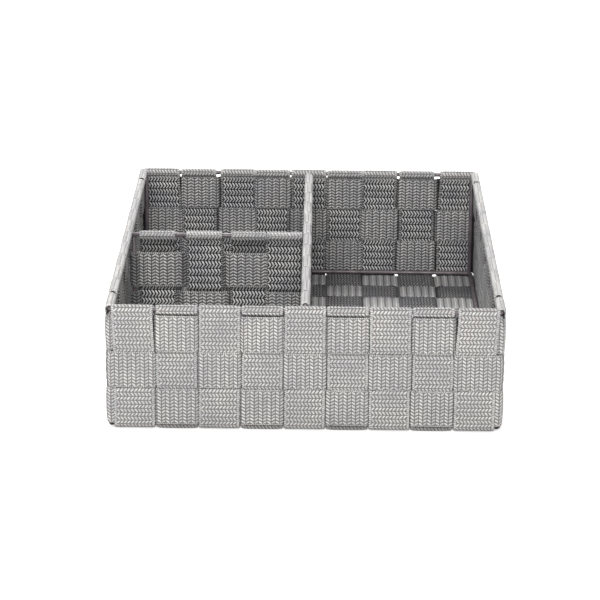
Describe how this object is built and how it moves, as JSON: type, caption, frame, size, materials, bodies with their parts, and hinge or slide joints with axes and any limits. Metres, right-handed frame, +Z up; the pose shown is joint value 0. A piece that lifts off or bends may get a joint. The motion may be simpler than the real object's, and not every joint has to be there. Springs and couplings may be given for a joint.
{
  "type": "bathroom organizer tray",
  "caption": "Low open tray woven from flat webbing on a wire frame, with a long divider and a cross divider between its compartments.",
  "frame": {"origin": "centre of the underside, where the tray rests", "axes": "+Z up, -Y is the front, X across the width, Y along the depth"},
  "size_m": [0.25, 0.32, 0.082],
  "materials": {
    "webbing": "woven, matte",
    "wire": "satin"
  },
  "bodies": {
    "root": {"base_wire": "wire", "corner_post_back_left": "wire", "corner_post_back_right": "wire", "corner_post_front_left": "wire", "corner_post_front_right": "wire", "cross_divider_band_1": "webbing", "cross_divider_band_2": "webbing", "cross_divider_base_wire": "wire", "cross_divider_post": "wire", "cross_divider_top_wire": "wire", "cross_divider_upright_1": "webbing", "cross_divider_upright_2": "webbing", "cross_divider_upright_3": "webbing", "cross_divider_upright_4": "webbing", "crosswise_strap_1": "webbing", "crosswise_strap_10": "webbing", "crosswise_strap_11": "webbing", "crosswise_strap_12": "webbing", "crosswise_strap_2": "webbing", "crosswise_strap_3": "webbing", "crosswise_strap_4": "webbing", "crosswise_strap_5": "webbing", "crosswise_strap_6": "webbing", "crosswise_strap_7": "webbing", "crosswise_strap_8": "webbing", "crosswise_strap_9": "webbing", "lengthwise_strap_1": "webbing", "lengthwise_strap_2": "webbing", "lengthwise_strap_3": "webbing", "lengthwise_strap_4": "webbing", "lengthwise_strap_5": "webbing", "lengthwise_strap_6": "webbing", "lengthwise_strap_7": "webbing", "lengthwise_strap_8": "webbing", "lengthwise_strap_9": "webbing", "long_divider_band_1": "webbing", "long_divider_band_2": "webbing", "long_divider_base_wire": "wire", "long_divider_post_back": "wire", "long_divider_post_front": "wire", "long_divider_top_wire": "wire", "long_divider_upright_1": "webbing", "long_divider_upright_10": "webbing", "long_divider_upright_11": "webbing", "long_divider_upright_12": "webbing", "long_divider_upright_2": "webbing", "long_divider_upright_3": "webbing", "long_divider_upright_4": "webbing", "long_divider_upright_5": "webbing", "long_divider_upright_6": "webbing", "long_divider_upright_7": "webbing", "long_divider_upright_8": "webbing", "long_divider_upright_9": "webbing", "rim_wire": "wire", "wall_hoop_1": "webbing", "wall_hoop_2": "webbing", "wall_hoop_3": "webbing"}
  },
  "joints": []
}
